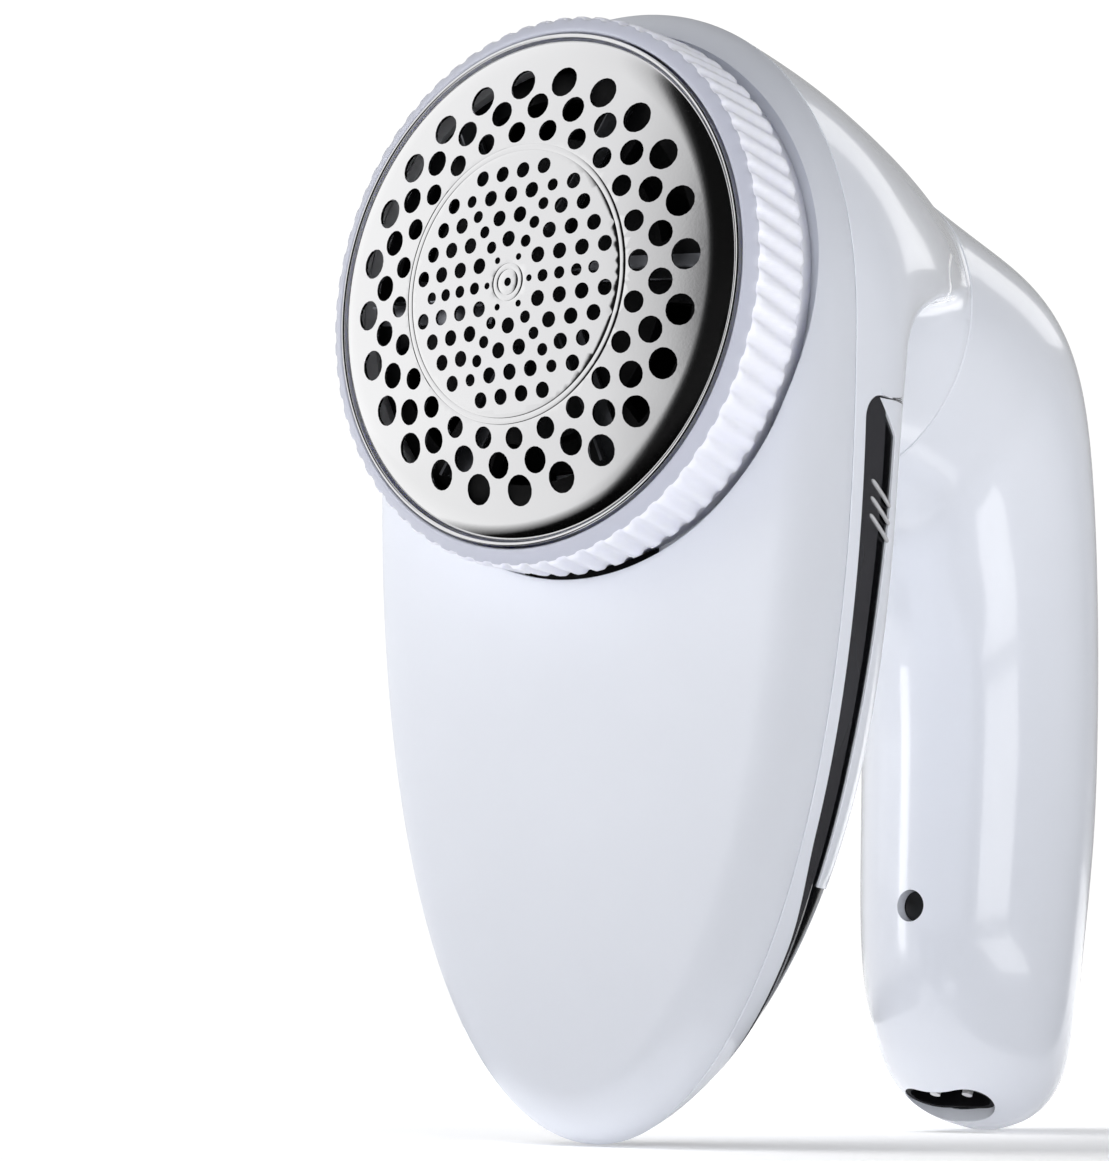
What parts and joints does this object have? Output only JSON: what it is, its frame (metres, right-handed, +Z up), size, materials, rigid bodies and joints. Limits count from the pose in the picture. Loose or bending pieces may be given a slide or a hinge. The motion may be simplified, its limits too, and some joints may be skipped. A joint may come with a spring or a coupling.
{
  "type": "fabric shaver",
  "caption": "Cordless fabric shaver with a round steel foil, knurled ring, egg-shaped body, pull-off lint box and a swivelling handle.",
  "frame": {"origin": "middle of the bounding box's bottom face: under the standing shaver at the tip of its body", "axes": "+Z up along the body, -Y the way the shaving foil faces, +Y towards the handle, +X to the right seen from the foil side"},
  "size_m": [0.082, 0.134, 0.156],
  "materials": {
    "white_gloss": "glossy white moulded plastic",
    "white_satin": "satin white moulded plastic",
    "ring_plastic": "slightly translucent satin white",
    "inner_plastic": "matte light grey moulding",
    "smoke_plastic": "glossy dark smoky plastic",
    "black_plastic": "black moulding",
    "foil_steel": "polished stainless foil",
    "bright_steel": "ground steel",
    "brass": "phosphor bronze spring sheet",
    "button_plastic": "soft grey key",
    "board_green": "solder mask",
    "cell_wrap": "heat-shrink sleeve",
    "lens": "grey light-pipe lens",
    "lead_cover": "soft insulated lead"
  },
  "bodies": {
    "head": {"front_shell": "white_satin", "rear_shell": "white_gloss", "chassis_plate": "inner_plastic", "chassis_screws": "bright_steel", "cutter_housing": "black_plastic", "motor": "bright_steel", "motor_mount": "bright_steel", "motor_screws": "bright_steel", "motor_leads": "lead_cover", "neck_bush": "inner_plastic", "friction_washer": "brass"},
    "foil_unit": {"foil": "foil_steel", "foil_ring": "ring_plastic", "foil_retainer": "inner_plastic"},
    "cutter": {"blade_disc": "black_plastic", "blades": "bright_steel", "drive_hub": "black_plastic", "motor_shaft": "bright_steel"},
    "lint_unit": {"lint_box": "smoke_plastic", "lint_panel": "white_gloss"},
    "handle": {"swivel_spindle": "inner_plastic", "spindle_screws": "bright_steel", "retaining_ring": "bright_steel", "handle_shell": "white_gloss", "handle_back": "white_gloss", "handle_screws": "bright_steel", "button_switch": "black_plastic", "control_board": "board_green", "battery": "cell_wrap", "battery_cradle": "inner_plastic", "handle_leads": "lead_cover", "indicator_lens": "lens", "charging_socket": "black_plastic", "charging_pins": "bright_steel"},
    "button": {"power_button": "button_plastic"}
  },
  "joints": [
    {"name": "handle_swivel", "type": "hinge", "parent": "head", "child": "handle", "pos_m": [0, 0.0084, 0.1205], "axis": [0, 0.9945, -0.1045], "range_deg": [0, 180]},
    {"name": "blade_spin", "type": "hinge", "parent": "head", "child": "cutter", "pos_m": [0, -0.0542, 0.114], "axis": [0, 1, 0], "continuous": true},
    {"name": "foil_ring_turn", "type": "hinge", "parent": "head", "child": "foil_unit", "pos_m": [0, -0.0542, 0.114], "axis": [0, 1, 0], "range_deg": [0, 30]},
    {"name": "lint_box_pull", "type": "slide", "parent": "head", "child": "lint_unit", "axis": [0, 0.2419, -0.9703], "range_m": [0, 0.06]},
    {"name": "power_press", "type": "slide", "parent": "handle", "child": "button", "axis": [0, -1, 0], "range_m": [0, 0.0007], "stiffness_N_per_m": 400, "springref_m": -0.0005}
  ]
}
